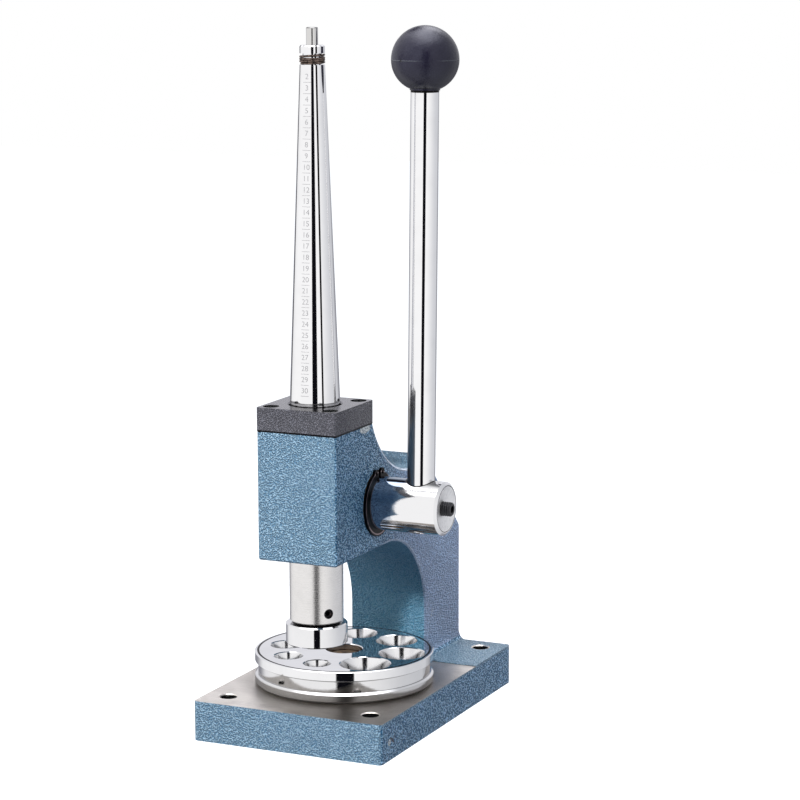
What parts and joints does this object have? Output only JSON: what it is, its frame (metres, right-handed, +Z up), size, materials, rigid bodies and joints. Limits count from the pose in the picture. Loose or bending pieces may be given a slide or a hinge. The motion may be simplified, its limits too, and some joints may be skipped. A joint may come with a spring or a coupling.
{
  "type": "ring stretcher",
  "caption": "Upright lever press with a rack-driven ram over a turning plate of tapered holes, and a split tapered mandrel on top, for making rings smaller or larger.",
  "frame": {"origin": "middle of the base's underside", "axes": "+Z up along the mandrel, +X along the cross shaft towards the lever, -Y towards the user"},
  "size_m": [0.1104, 0.1587, 0.3412],
  "materials": {
    "blue_hammertone": "hammertone enamel",
    "black_hammertone": "hammertone enamel, ground top",
    "black_oxide": "black oxide",
    "polished_steel": "polished",
    "turned_steel": "fine turned",
    "spring_steel": "drawn wire",
    "brown_steel": "aged, unpolished",
    "bush_bronze": "turned",
    "knob_black": "moulded, polished",
    "insert_brass": "turned"
  },
  "bodies": {
    "frame": {"frame_casting": "blue_hammertone", "mandrel_cap": "black_hammertone", "cap_screws": "black_oxide", "die_pivot_stud": "brown_steel", "right_bush": "bush_bronze", "left_bush": "bush_bronze", "leaf_spring": "spring_steel"},
    "lever": {"cross_shaft": "polished_steel", "pinion": "turned_steel", "pinion_key": "turned_steel", "retaining_ring": "black_oxide", "shaft_end_washer": "turned_steel", "shaft_end_screw": "black_oxide", "lever_rod": "polished_steel", "lever_set_screw": "black_oxide", "ball_knob": "knob_black", "knob_insert": "insert_brass"},
    "ram": {"ram": "turned_steel", "press_foot": "polished_steel", "foot_set_screw": "black_oxide", "core_rod": "turned_steel", "core_lock_nut": "turned_steel"},
    "die_plate": {"die_plate": "polished_steel"},
    "leaf_front": {"mandrel_leaf_front": "polished_steel"},
    "leaf_right": {"mandrel_leaf_right": "polished_steel"},
    "leaf_rear": {"mandrel_leaf_rear": "polished_steel"},
    "leaf_left": {"mandrel_leaf_left": "polished_steel"}
  },
  "joints": [
    {"name": "lever_pull", "type": "hinge", "parent": "frame", "child": "lever", "pos_m": [0, -0.02, 0.11195], "axis": [1, 0, 0], "range_deg": [0, 45]},
    {"name": "ram_slide", "type": "slide", "parent": "frame", "child": "ram", "axis": [0, 0, -1], "range_m": [0, 0.01061]},
    {"name": "die_turn", "type": "hinge", "parent": "frame", "child": "die_plate", "pos_m": [0, -0.015, 0.0277], "axis": [0, 0, 1], "continuous": true},
    {"name": "leaf_front_spread", "type": "slide", "parent": "frame", "child": "leaf_front", "axis": [0, -1, 0], "range_m": [0, 0.00015]},
    {"name": "leaf_right_spread", "type": "slide", "parent": "frame", "child": "leaf_right", "axis": [1, 0, 0], "range_m": [0, 0.00015]},
    {"name": "leaf_rear_spread", "type": "slide", "parent": "frame", "child": "leaf_rear", "axis": [0, 1, 0], "range_m": [0, 0.00015]},
    {"name": "leaf_left_spread", "type": "slide", "parent": "frame", "child": "leaf_left", "axis": [-1, 0, 0], "range_m": [0, 0.00015]}
  ],
  "couplings": [
    {"joint": "ram_slide", "follows": "lever_pull", "m_per_rad": 0.0135},
    {"joint": "leaf_front_spread", "follows": "lever_pull", "m_per_rad": 0.00018651},
    {"joint": "leaf_right_spread", "follows": "lever_pull", "m_per_rad": 0.00018651},
    {"joint": "leaf_rear_spread", "follows": "lever_pull", "m_per_rad": 0.00018651},
    {"joint": "leaf_left_spread", "follows": "lever_pull", "m_per_rad": 0.00018651}
  ]
}
